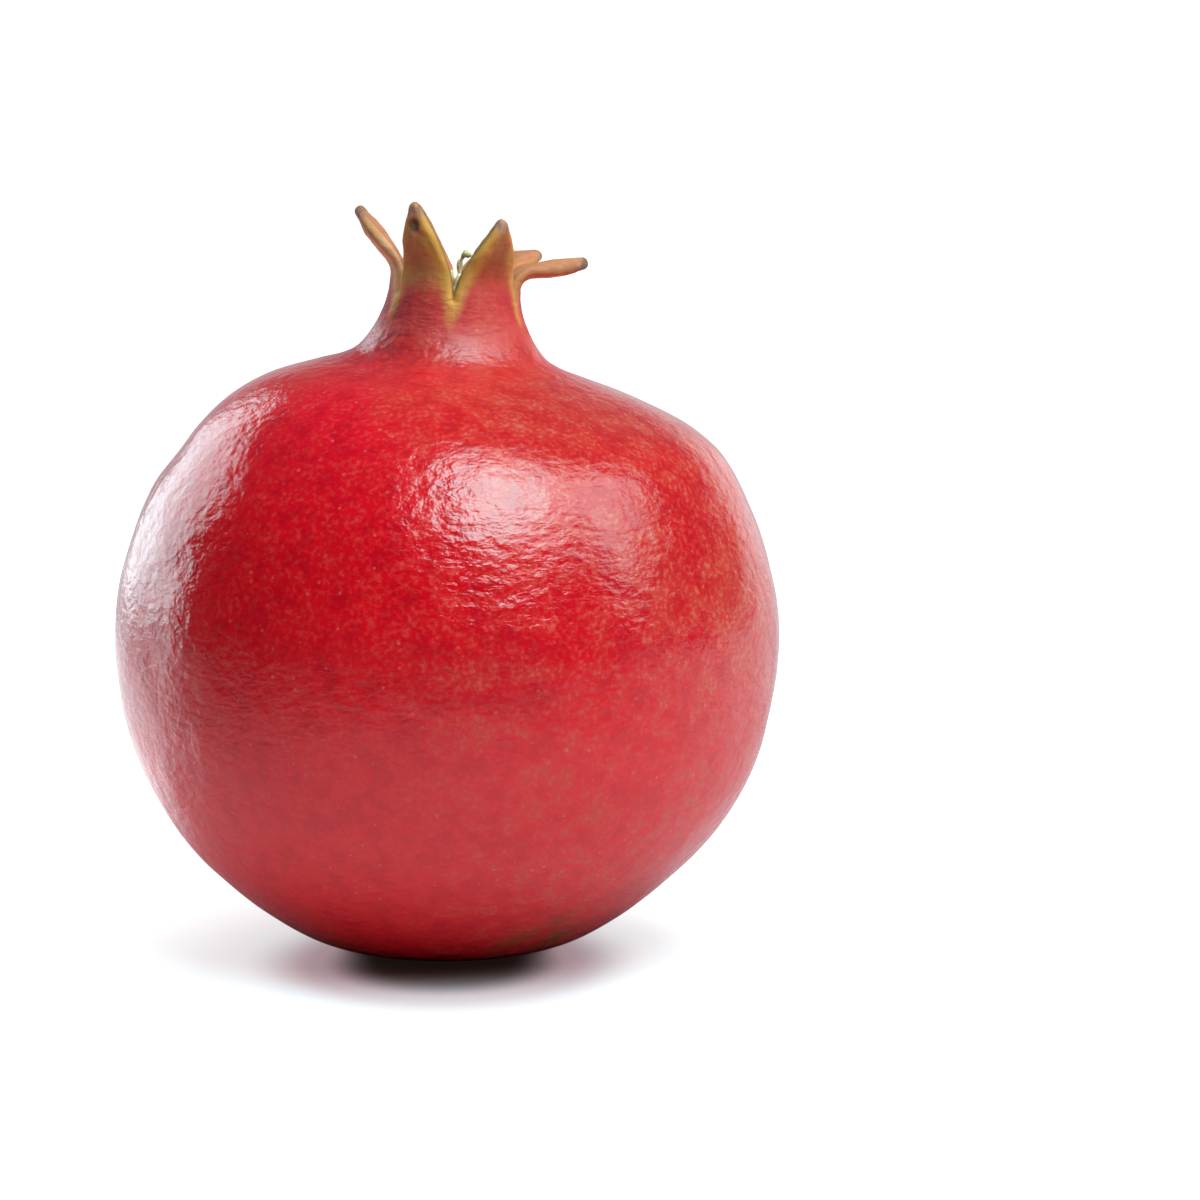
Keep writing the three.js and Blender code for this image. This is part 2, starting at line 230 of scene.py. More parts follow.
def outline_rows():
    """Rows of the skin from the resting ring up to the notches, closest together on the neck."""
    rows = []
    for span in range(len(OUTLINE) - 1):
        length = np.linalg.norm(OUTLINE[span + 1] - OUTLINE[span])
        row_step = ROW_STEP if OUTLINE[span][1] < NECK_FROM else NECK_ROW_STEP
        count = ceil(length / row_step)
        rows += list(outline_points(span, np.arange(count) / count))
    heights = NOTCH_HEIGHT - EDGE_ROUNDING * np.array(NOTCH_ROWS)
    below = [row for row in rows if row[1] < NOTCH_HEIGHT - NOTCH_CLEAR * EDGE_ROUNDING]
    return below + [np.array((radius_at(h), h)) for h in heights]


def scar_rows():
    """Rows of the stem scar, from its middle outwards."""
    steps = np.linspace(0, 1, SCAR_STEPS, endpoint=False)
    rows = [mix(a, b, t) for a, b in zip(SCAR[:-1], SCAR[1:]) for t in steps]
    ring = [mix(SCAR[-1], OUTLINE[0], t) for t in (0.25, 0.5, 0.75)]
    return rows[1:] + [SCAR[-1]] + ring


def swell(azimuth, height):
    """How far the skin swells out: low swellings over the seed chambers and an uneven girth."""
    a = np.radians(azimuth)
    up = height / BELLY_HEIGHT
    girth = np.sin(pi * np.clip(up / GIRTH_TOP, 0, 1)) ** 2
    chambers = np.cos(CHAMBERS * (a - radians(CHAMBER_AZIMUTH))) * CHAMBER_SWELL
    uneven = (np.sin(2 * a) + np.cos(3 * a + up)) * GIRTH_SWELL
    on_shoulder = np.clip((height - SHOULDER_FROM) / (SHOULDER_TO - SHOULDER_FROM), 0, 1)
    shoulder = np.sin(pi * on_shoulder) ** 2
    return girth * (chambers + uneven) + shoulder * SHOULDER_SHIFT * np.sin(a)


# ---------------------------- the sepals


def across_at(j):
    """Where a column lies across its sepal, from -1 to 1: closer together towards the edges."""
    even = 2 * np.asarray(j, float) / SEPAL_COLUMNS - 1
    return mix(even, np.sin(pi / 2 * even), 0.6)


def middle(sepal):
    """The azimuth of a sepal's middle."""
    return (sepal["start"] + sepal["end"]) / 2


def half_span(sepal):
    """Half the azimuth that a sepal takes up at the notches."""
    return (sepal["end"] - sepal["start"]) / 2


def middle_line(sepal, along):
    """Place and lean of a sepal's middle line at a length above the notch."""
    steps = (np.arange(ARC_STEPS) + 0.5) / ARC_STEPS

    def lean_at(length):
        bent = sepal["lean"] * smooth(length, 0, sepal["bend"])
        return np.radians(bent + sepal["curl"] * (length / sepal["length"]) ** 2)

    leans = lean_at(along * steps)
    out = NECK_RADIUS - WALL / 2 + along * np.sin(leans).mean()
    height = NOTCH_HEIGHT + along * np.cos(leans).mean()
    return out, height, lean_at(along)


def half_width(sepal, s):
    """Half the width of a sepal at a share s of its length, with a rounded tip."""
    base = radians(half_span(sepal)) * (NECK_RADIUS - WALL / 2)
    taper = (1 - s**TAPER_POWER) ** sepal["taper"]
    cap = TIP_CAP * TIP_RADIUS / sepal["length"]
    return (TIP_RADIUS + (base - TIP_RADIUS) * taper) * rounded((1 - s) / cap)


def thickness(sepal, s):
    """Thickness in the middle of a sepal: thin above its base, and fleshy again higher up."""
    cap = TIP_CAP * TIP_RADIUS / sepal["length"]
    blade = mix(WALL, SEPAL_WALL, smooth(s, 0, 0.3))
    fleshy = mix(blade, FLESHY_WALL, smooth(s, 0.3, 0.65))
    return mix(fleshy, TIP_WALL, smooth(s, 0.72, 0.96)) * rounded((1 - s) / cap)


def sepal_points(sepal, s, across, side):
    """Points of a sepal: s along it, across it from -1 to 1, on its outer or inner face."""
    out, height, lean = middle_line(sepal, s * sepal["length"])
    width = half_width(sepal, s)
    bow = (NECK_RADIUS - WALL / 2) / mix(1, sepal["cupped"], smooth(s, 0, 0.5))
    turn = across * width / bow
    edge = (1 - abs(across)) * width / max(min(EDGE_ROUNDING, width), 1e-6)
    half = side * thickness(sepal, s) * rounded(edge) / 2
    sideways = (bow + half) * np.sin(turn) + sepal["sway"] * s * s
    outwards = (bow + half) * np.cos(turn) - bow
    twist = radians(sepal["twist"]) * s
    tangent = sideways * cos(twist) + outwards * sin(twist)
    normal = outwards * cos(twist) - sideways * sin(twist)
    x = out + normal * np.cos(lean)
    z = height - normal * np.sin(lean)
    return lean_over(polar(middle(sepal), x, tangent, z))


# ---------------------------- the skin's mesh


class Skin:
    """Collects the points and faces of one closed surface, with what its material reads."""

    FIELDS = ("rise", "tipward", "edge", "middle", "inner", "tone", "dry", "pale", "reach")

    def __init__(self):
        self.points, self.faces = [], []
        self.fields = {name: [] for name in self.FIELDS}
        self.blade = []
        self.count = 0

    def add(self, points, blade=(0.0, 0.0, 0.0), **fields):
        """Adds a row of points and gives back their numbers."""
        points = np.atleast_2d(points)
        self.points.append(points)
        for name in self.FIELDS:
            self.fields[name].append(np.broadcast_to(fields.get(name, 0.0), len(points)))
        self.blade.append(np.broadcast_to(blade, (len(points), 3)))
        self.count += len(points)
        return np.arange(self.count - len(points), self.count)

    def band(self, low, high, flip=False):
        """Faces between two rows of the same length, the first below the second."""
        quads = np.stack([low[:-1], low[1:], high[1:], high[:-1]], -1)
        self.faces += (quads[:, ::-1] if flip else quads).tolist()

    def tube(self, rings, levels, tone):
        """A closed tube through rings of points, from its bottom to its top."""
        rows = [closed(self.add(ring, tipward=t, tone=tone)) for ring, t in zip(rings, levels)]
        self.faces.append(rows[0][:-1][::-1].tolist())
        for low, high in zip(rows[:-1], rows[1:]):
            self.band(low, high)
        self.faces.append(rows[-1][:-1].tolist())

    def mesh(self, name):
        """The mesh, in metres, with its fields as attributes of its points."""
        faces = [list(dict.fromkeys(face)) for face in self.faces]
        mesh = bpy.data.meshes.new(name)
        mesh.from_pydata(np.vstack(self.points) * MM, [], faces)
        for label, values in self.fields.items():
            data = np.concatenate(values).astype(np.float32)
            mesh.attributes.new(label, "FLOAT", "POINT").data.foreach_set("value", data)
        blade = np.vstack(self.blade).astype(np.float32).ravel()
        mesh.attributes.new("blade", "FLOAT_VECTOR", "POINT").data.foreach_set("vector", blade)
        mesh.shade_smooth()
        mesh.update()
        return mesh


# The columns of the skin: where each lies across its sepal, half that sepal's span, and its
# azimuth, spread evenly on the belly and gathered to the sepals at the crown.
ONE_SEPAL = across_at(np.arange(SEPAL_COLUMNS))
COLUMNS = len(SEPALS) * SEPAL_COLUMNS
SPREAD = 360 * np.arange(COLUMNS) / COLUMNS
ACROSS = np.tile(ONE_SEPAL, len(SEPALS))
SPANS = np.repeat([half_span(s) for s in SEPALS], SEPAL_COLUMNS)
GATHERED = np.repeat([middle(s) for s in SEPALS], SEPAL_COLUMNS) + SPANS * ACROSS


def blade_at(index, across, rise):
    """Places on a sepal laid flat: across it, up it, and which one it is."""
    sepal = SEPALS[index]
    aside = across * half_width(sepal, max(rise, 0.0) / sepal["length"])
    which = np.full_like(across, index * SEPAL_APART)
    return np.stack([aside, np.full_like(across, rise), which], -1)


def across_looks(index, across):
    """What the material reads of a sepal's looks, at places across it."""
    looks = LOOKS[index]
    spread = 1 - across**2
    return dict(
        middle=np.clip(abs(across) + looks["shift"] * across * spread, 0, 1),
        dry=np.full_like(across, looks["dry"]),
        pale=np.full_like(across, looks["pale"]),
        reach=looks["reach"] * spread,
        tone=np.full_like(across, index / len(SEPALS)),
    )


# The same for a whole row of the skin below the sepals.
EACH = [across_looks(index, ONE_SEPAL) for index in range(len(SEPALS))]
NECK_LOOKS = {name: np.concatenate([looks[name] for looks in EACH]) for name in EACH[0]}
NECK_BLADE = np.concatenate([blade_at(index, ONE_SEPAL, 0.0) for index in range(len(SEPALS))])


def closed(row):
    """A row that ends on its first point."""
    return np.append(row, row[0])


def wall_points(radius, height, side, wall):
    """A closed row round the fruit, its wall thinned to nothing round the notches."""
    azimuth = mix(SPREAD, GATHERED, smooth(height, BELLY_HEIGHT, NOTCH_HEIGHT - 6))
    aside = (1 - abs(ACROSS)) * np.radians(SPANS) * NECK_RADIUS
    share = rounded(np.hypot(aside, NOTCH_HEIGHT - height) / EDGE_ROUNDING)
    thick = WALL if side > 0 else wall
    out = radius - thick / 2 + side * thick / 2 * share + swell(azimuth, height)
    return lean_over(polar(azimuth, out, 0, height)), azimuth


def weather(points, azimuth, height):
    """Moves a row of the outside in and out: dents, puckers, and the neck's ridges and rings."""
    a = np.radians(azimuth)
    outwards = np.stack([np.sin(a), -np.cos(a), 0 * a], -1)
    body = smooth(height, 0.5, 6) * (1 - smooth(height, NOTCH_HEIGHT - 6, NOTCH_HEIGHT - 1))
    neck = smooth(height, NECK_FROM, 87) * (1 - smooth(height, NOTCH_HEIGHT - 3, NOTCH_HEIGHT))
    belly = lumps(points, DENTS) + lumps(points, PUCKERS)
    up = np.full_like(a, height / RIDGE_STRETCH)
    ridges = lumps(np.stack([np.sin(a) * 9, np.cos(a) * 9, up], -1), RIDGES)
    shift = body * belly + neck * (ridges + lumps(points * RING_SQUASH, RINGS))
    return points + outwards * shift[:, None]


def add_wall(skin, radius, height, side=1, wall=WALL):
    """A closed row of the outside or, with side -1, of the cup; gives back its numbers."""
    points, azimuth = wall_points(radius, height, side, wall)
    if side > 0 and height > 0:
        points = weather(points, azimuth, height)
    rise = height - NOTCH_HEIGHT
    row = skin.add(
        points,
        blade=NECK_BLADE + (0, rise, 0),
        rise=rise,
        edge=abs(ACROSS),
        inner=0.0 if side > 0 else 1.0,
        **NECK_LOOKS,
    )
    return closed(row)


def add_sepal(skin, index, outer, inner):
    """One sepal on its stretch of the outer and the inner row at the notches."""
    sepal = SEPALS[index]
    across = across_at(np.arange(SEPAL_COLUMNS + 1))
    shares = 1 - (1 - np.arange(1, SEPAL_ROWS) / SEPAL_ROWS) ** 1.5  # closer towards the tip

    def add_points(s, columns, side, inner_share):
        rise = s * sepal["length"]
        points = sepal_points(sepal, s, columns, side)
        away = points - sepal_points(sepal, s, 0.0, 0)
        away /= np.linalg.norm(away, axis=-1, keepdims=True) + 1e-6
        push = lumps(points, SEPAL_LUMPS, index)
        push = push + lumps(points * WRINKLE_SQUASH, SEPAL_WRINKLES, index)
        blade = blade_at(index, columns, rise)
        if index == len(SEPALS) - 1 and side > 0:
            hollow = np.hypot((blade[:, 0] - PIT[0]) / PIT_HALF_WIDTH, rise - PIT[1])
            push = push - PIT_DEPTH * (1 - smooth(hollow, 0.2, 1.2))
        from_base = smooth(s, 0, 0.15)
        return skin.add(
            points + away * (push * from_base)[:, None],
            blade=blade,
            rise=rise,
            tipward=s,
            edge=abs(columns),
            inner=inner_share,
            **across_looks(index, columns),
        )

    low = (outer, inner)
    for s in shares:
        left = add_points(s, np.array([-1.0]), 1, 0.5)
        right = add_points(s, np.array([1.0]), 1, 0.5)
        front = add_points(s, across[1:-1], 1, 0.0)
        back = add_points(s, across[1:-1], -1, 1.0)
        high = tuple(np.concatenate([left, face, right]) for face in (front, back))
        skin.band(low[0], high[0])
        skin.band(low[1], high[1], flip=True)
        low = high
    tip = skin.add(
        sepal_points(sepal, 1.0, 0.0, 1),
        rise=sepal["length"],
        tipward=1.0,
        inner=0.5,
        tone=index / len(SEPALS),
        dry=LOOKS[index]["dry"],
        pale=LOOKS[index]["pale"],
    )
    point = np.repeat(tip, SEPAL_COLUMNS + 1)
    skin.band(low[0], point)
    skin.band(low[1], point, flip=True)


def make_rind():
    """The rind: scar, skin, neck, sepals and cup in one closed surface."""
    skin = Skin()
    scar_middle = skin.add(lean_over(np.array([0, 0, SCAR[0][1]])), rise=-NOTCH_HEIGHT)
    low = np.repeat(scar_middle, COLUMNS + 1)
    for radius, height in scar_rows() + outline_rows():
        row = add_wall(skin, radius, height)
        skin.band(low, row)
        low = row
    outer = add_wall(skin, NECK_RADIUS, NOTCH_HEIGHT)
    skin.band(low, outer)
    inner = add_wall(skin, NECK_RADIUS, NOTCH_HEIGHT, -1)
    inner[::SEPAL_COLUMNS] = outer[::SEPAL_COLUMNS]
    for index in range(len(SEPALS)):
        stretch = slice(index * SEPAL_COLUMNS, (index + 1) * SEPAL_COLUMNS + 1)
        add_sepal(skin, index, outer[stretch], inner[stretch])
    low = inner
    levels = [(WALL, NOTCH_HEIGHT)] + CUP
    for (wall0, height0), (wall1, height1) in zip(levels[:-1], levels[1:]):
        for t in CUP_STEPS:
            height = mix(height0, height1, t)
            row = add_wall(skin, radius_at(height), height, -1, mix(wall0, wall1, t))
            skin.band(low, row)
            low = row
    cup_middle = lean_over(np.array([0, 0, CUP_FLOOR]))
    cup_middle = skin.add(cup_middle, rise=CUP_FLOOR - NOTCH_HEIGHT, inner=1.0)
    skin.band(low, np.repeat(cup_middle, COLUMNS + 1))
    return skin.mesh("rind_skin")


# ---------------------------- the stamens

STAMENS = 150
STAMEN_SIDES = 6
STAMEN_SEED = 7
STAMEN_ROOT = CUP_FLOOR + 1.0
GOLDEN_ANGLE = 137.508  # spreads the stamens evenly
PAD_RADIUS = 3.7
PAD_TOP = CUP_FLOOR + 1.9
# The outline of the thin pad they stand on, from its underside to its top: (radius, height).
PAD = [
    (0.05, PAD_TOP - 1.4),
    (PAD_RADIUS - 0.5, PAD_TOP - 1.3),
    (PAD_RADIUS, PAD_TOP - 0.6),
    (PAD_RADIUS - 0.4, PAD_TOP),
    (0.05, PAD_TOP + 0.2),
]
PAD_TONE = 0.4
CLEARANCE = 0.4
# The style, and the few stamens that stand above the notches.
TALL_STAMENS = table(
    ("azimuth", "root", "spread", "top", "swing", "thick", "bend", "tone", "droop"),
    [
        (200, 0.0, 0.3, 95.5, 0.3, 0.55, 0.2, 0.2, 0.0),
        (150, 0.6, 0.7, 102.4, -0.2, 0.28, -1.9, 0.2, 2.5),
        (155, 1.0, 1.4, 99.2, 0.3, 0.22, 0.3, 0.1, 0.0),
        (20, 1.2, 0.8, 97.4, 0.5, 0.20, 1.0, 0.0, 0.8),
    ],
)
DROOP_FROM = 0.8  # shares of the length from which a stamen droops and bends aside
BEND_FROM = 0.75
STAMEN_FLATNESS = 0.8
# Shares of a stamen's length, and its girth there: the anther is the swelling near the end.
STAMEN_LEVELS = np.array([0, 0.15, 0.3, 0.45, 0.6, 0.72, 0.82, 0.87, 0.91, 0.95, 0.985, 1.0])
STAMEN_GIRTH = np.array([1.2, 1, 0.9, 0.85, 0.8, 0.8, 0.8, 1.3, 2.1, 2.2, 1.5, 0.4])


def cup_radius(height):
    """The room inside the cup at a height, measured from its axis."""
    if height >= CUP[0][1]:
        return NECK_RADIUS - WALL
    heights = [h for _, h in CUP][::-1]
    walls = [w for w, _ in CUP][::-1]
    return radius_at(height) - float(np.interp(height, heights, walls))


def near_end(t, start):
    """0 up to start and 1 at the end, growing ever faster."""
    return (max(t - start, 0) / (1 - start)) ** 2


def add_stamen(skin, azimuth, root, spread, top, swing, thick, bend, tone, droop=0.0):
    """A dried stamen: a bent thread with a swollen anther at its end, which may droop."""
    centre = []
    for t in STAMEN_LEVELS:
        height = mix(STAMEN_ROOT, top, t) - droop * near_end(t, DROOP_FROM)
        out = mix(root, spread, sin(pi / 2 * t))
        side = swing * sin(pi * t) + bend * near_end(t, BEND_FROM)
        room = cup_radius(height) - CLEARANCE - thick * 2.2
        size = sqrt(out * out + side * side)
        fit = min(1.0, room / size) if size > 0 else 1.0
        centre.append(lean_over(polar(azimuth, out * fit, side * fit, height)))
    centre = np.array(centre)
    heading = np.gradient(centre, axis=0)
    heading /= np.linalg.norm(heading, axis=1, keepdims=True)
    turns = 2 * pi * np.arange(STAMEN_SIDES) / STAMEN_SIDES
    rings = []
    for i, girth in enumerate(STAMEN_GIRTH):
        aside = np.cross(heading[i], (0.3, 1.0, 0.2))
        aside /= np.linalg.norm(aside)
        other = np.cross(heading[i], aside)
        ring = np.cos(turns)[:, None] * aside + STAMEN_FLATNESS * np.sin(turns)[:, None] * other
        rings.append(centre[i] + ring * thick * girth)
    skin.tube(rings, STAMEN_LEVELS, tone)


def make_stamens():
    """The dried stamens and the style, standing on the thin tissue at the bottom of the cup."""
    skin = Skin()
    draw = np.random.default_rng(STAMEN_SEED)
    turns = np.arange(0, 360, 10)
    pad = [lean_over(polar(turns, radius, 0, height)) for radius, height in PAD]
    skin.tube(pad, [0.0] * len(PAD), PAD_TONE)
    for i in range(STAMENS):
        share = sqrt((i + 0.5) / STAMENS)
        add_stamen(
            skin,
            azimuth=GOLDEN_ANGLE * i + 20 * draw.random(),
            root=share * (PAD_RADIUS - 0.5),
            spread=(NECK_RADIUS - WALL - 0.9) * min(share + 0.2 * (draw.random() - 0.5), 1),
            top=mix(96.0, 91.0, share) + 3.4 * draw.random() - 1.0,
            swing=2.4 * (draw.random() - 0.5),
            thick=mix(0.16, 0.24, draw.random()),
            bend=1.3 * (draw.random() - 0.5),
            tone=draw.random(),
        )
    for stamen in TALL_STAMENS:
        add_stamen(skin, **stamen)
    return skin.mesh("stamen_bunch")


# ---------------------------- node helpers


def fill(tree, socket, value):
    """Joins a socket to another node's output, or gives it a value; colours are opaque."""
    if isinstance(value, bpy.types.NodeSocket):
        tree.links.new(value, socket)
    elif socket.type == "RGBA":
        socket.default_value = (*value, 1)
    else:
        socket.default_value = value


def put(tree, kind, inputs=None, **settings):
    """Adds a node and fills its inputs, which are given by name or number."""
    node = tree.nodes.new(kind)
    for name, value in settings.items():
        setattr(node, name, value)
    for name, value in (inputs or {}).items():
        fill(tree, node.inputs[name], value)
    return node


def calc(tree, operation, a, b=0.0, clamp=False):
    node = put(tree, "ShaderNodeMath", {0: a, 1: b}, operation=operation, use_clamp=clamp)
    return node.outputs[0]


def plus(tree, a, b):
    return calc(tree, "ADD", a, b)


def times(tree, a, b):
    return calc(tree, "MULTIPLY", a, b)


def vector_calc(tree, operation, a, b=(0, 0, 0)):
    node = put(tree, "ShaderNodeVectorMath", {0: a, 1: b}, operation=operation)
    as_value = operation in ("LENGTH", "DISTANCE", "DOT_PRODUCT")
    return node.outputs["Value" if as_value else "Vector"]


def scaled(tree, vector, by):
    """A vector with each of its parts multiplied."""
    return vector_calc(tree, "MULTIPLY", vector, by)


def parts_of(tree, vector):
    """The X, Y and Z of a vector."""
    return put(tree, "ShaderNodeSeparateXYZ", {0: vector}).outputs


def joined(tree, x, y, z):
    """A vector of three values."""
    return put(tree, "ShaderNodeCombineXYZ", {"X": x, "Y": y, "Z": z}).outputs[0]


def step(tree, value, low, high, to_low=0.0, to_high=1.0):
    """A smooth step of a value, from to_low at low to to_high at high."""
    inputs = {"Value": value, "From Min": low, "From Max": high}
    inputs |= {"To Min": to_low, "To Max": to_high}
    return put(tree, "ShaderNodeMapRange", inputs, interpolation_type="SMOOTHSTEP").outputs[0]


def tint(tree, share, a, b, blend="MIX"):
    """Mixes colour b into colour a."""
    node = tree.nodes.new("ShaderNodeMix")
    node.data_type, node.blend_type = "RGBA", blend
    for number, value in ((0, share), (6, a), (7, b)):
        fill(tree, node.inputs[number], value)
    return node.outputs[2]


def field(tree, name, kind="Fac"):
    """A value that the mesh carries at its points."""
    return put(tree, "ShaderNodeAttribute", attribute_name=name).outputs[kind]


def millimetres(tree):
    """Places on the object, in millimetres."""
    where = tree.nodes.new("ShaderNodeTexCoord").outputs["Object"]
    return scaled(tree, where, (1 / MM, 1 / MM, 1 / MM))


def new_material(name):
    material = bpy.data.materials.new(name)
    material.use_nodes = True
    tree = material.node_tree
    shader = next(n for n in tree.nodes if n.type == "BSDF_PRINCIPLED")
    return material, tree, shader


def dress(tree, shader, colour, rough, bump):
    """Joins what changes over the surface to the material's shader."""
    tree.links.new(colour, shader.inputs["Base Color"])
    tree.links.new(rough, shader.inputs["Roughness"])
    tree.links.new(bump.outputs[0], shader.inputs["Normal"])


# ---------------------------- patterns that materials share


def new_group(name, result, **values):
    """A node group that takes a Vector and these values, and gives one result."""
    tree = bpy.data.node_groups.new(name, "ShaderNodeTree")
    tree.interface.new_socket("Vector", in_out="INPUT", socket_type="NodeSocketVector")
    for label, default in values.items():
        socket = tree.interface.new_socket(label, in_out="INPUT", socket_type="NodeSocketFloat")
        socket.default_value = default
    tree.interface.new_socket(result, in_out="OUTPUT", socket_type="NodeSocketFloat")
    given = tree.nodes.new("NodeGroupInput").outputs
    return tree, given, tree.nodes.new("NodeGroupOutput").inputs[result]


def make_mottle():
    """Soft patches: a mask from 0 to 1, with patches of about Size millimetres."""
    tree, given, mask = new_group("mottle", "Mask", Size=3.0, Detail=3.0, Low=0.4, High=0.6)
    scale = calc(tree, "DIVIDE", 1.0, given["Size"])
    inputs = {"Vector": given["Vector"], "Scale": scale, "Detail": given["Detail"]}
    cloud = put(tree, "ShaderNodeTexNoise", inputs).outputs["Fac"]
    tree.links.new(step(tree, cloud, given["Low"], given["High"]), mask)
    return tree


def make_speckle():
    """Round specks of uneven size and strength, about Spacing millimetres apart."""
    tree, given, mask = new_group("speckle", "Mask", Spacing=2.0, Radius=0.2, Share=0.5)
    scale = calc(tree, "DIVIDE", 1.0, given["Spacing"])
    cells = put(tree, "ShaderNodeTexVoronoi", {"Vector": given["Vector"], "Scale": scale}).outputs
    away = times(tree, cells["Distance"], given["Spacing"])
    chance = put(tree, "ShaderNodeSeparateColor", {"Color": cells["Color"]}).outputs
    radius = times(tree, given["Radius"], plus(tree, 0.5, chance[0]))
    spot = step(tree, calc(tree, "DIVIDE", away, radius), 0.35, 1.0, 1.0, 0.0)
    kept = step(tree, chance[1], calc(tree, "SUBTRACT", 1.0, given["Share"]), 1.0)
    tree.links.new(times(tree, spot, kept), mask)
    return tree


def make_fibre():
    """Fine streaks that run along the third axis of the vector: a mask from 0 to 1."""
    tree, given, mask = new_group("fibre", "Mask", Width=0.3, Length=2.0, Low=0.5, High=0.7)
    across = calc(tree, "DIVIDE", 1.0, given["Width"])
    along = calc(tree, "DIVIDE", 1.0, given["Length"])
    where = scaled(tree, given["Vector"], joined(tree, across, across, along))
    inputs = {"Vector": where, "Scale": 1.0, "Detail": 3.0, "Distortion": 0.4}
    threads = put(tree, "ShaderNodeTexNoise", inputs).outputs["Fac"]
    tree.links.new(step(tree, threads, given["Low"], given["High"]), mask)
    return tree


def make_wrinkle():
    """Leathery relief from 0 to 1: soft folds of about Size millimetres with finer ones on them."""
    tree, given, height = new_group("wrinkle", "Height", Size=1.0, Detail=2.0)
    scale = calc(tree, "DIVIDE", 1.0, given["Size"])
    inputs = {"Vector": given["Vector"], "Scale": scale, "Detail": given["Detail"]}
    inputs |= {"Roughness": 0.52, "Distortion": 0.15}
    tree.links.new(put(tree, "ShaderNodeTexNoise", inputs).outputs["Fac"], height)
    return tree


GROUPS = {
    "mottle": make_mottle(),
    "speckle": make_speckle(),
    "fibre": make_fibre(),
    "wrinkle": make_wrinkle(),
}


def use(tree, name, where, **values):
    """Places a node group in a material, at these places and with its own values."""
    node = tree.nodes.new("ShaderNodeGroup")
    node.node_tree = GROUPS[name]
    fill(tree, node.inputs["Vector"], where)
    for label, value in values.items():
        fill(tree, node.inputs[label], value)
    return node.outputs[0]


# ---------------------------- the rind's material

CRIMSON = (0.89, 0.001, 0.010)
SCARLET = (0.68, 0.005, 0.012)
ORANGE_RED = (0.69, 0.075, 0.042)
CORAL = (0.85, 0.03, 0.075)
# Painted light: a pale rose for the lower half, standing in for light bounced up from the floor.
ROSE_PAINTED_BOUNCE = (0.96, 0.012, 0.022)
DEEP_RED = (0.50, 0.001, 0.012)
FLECK = (0.05, 0.085, 0.055)
PALE_PORE = (1.0, 0.40, 0.30)
PURPLE_BROWN = (0.21, 0.010, 0.032)
OLIVE = (0.17, 0.10, 0.018)
OCHRE = (0.88, 0.33, 0.050)
RED_BROWN = (0.78, 0.21, 0.072)
RUST = (0.56, 0.10, 0.026)
PEACH = (0.66, 0.185, 0.075)
PALE_PEACH = (1.0, 0.41, 0.215)
TERRACOTTA = (0.44, 0.11, 0.048)
NUB = (0.60, 0.28, 0.20)
DARK_BARK = (0.05, 0.022, 0.015)
WOOD = (0.30, 0.19, 0.10)

# Heights between which a colour comes in, in millimetres.
SHOULDERS = (62.0, 90.0)
# The painted bounce light of the lower half comes in between these heights.
PAINTED_BOUNCE_HEIGHTS = (60.0, 26.0)
NECK_FOOT = (80.0, 88.0)
SCAR_DEPTH = (4.0, 2.5)
# The same, measured from the notches.
NECK_START = (-13.0, -7.0)
NECK_END = (-7.0, -2.5)
SEPAL_START = (-1.0, 2.0)
CUP_DEPTH = (0.0, -6.0)

DRIFT_SIZE = 26.0  # the largest patches of the skin
DRIFT_SHIFT = 26.0  # how far they move the border between crimson and the warmer reds
OLIVE_PATCH = (15.0, -22.0, 3.0)  # its middle
OLIVE_REACH = (11.0, 3.0)  # none at the first distance, full at the second
SCAR_REACH = (6.6, 5.0)
PIT_STRETCH = (1.05, 0.85, 1.0)
WAXY_ROUGHNESS = 0.16
WAX_IOR = 1.58


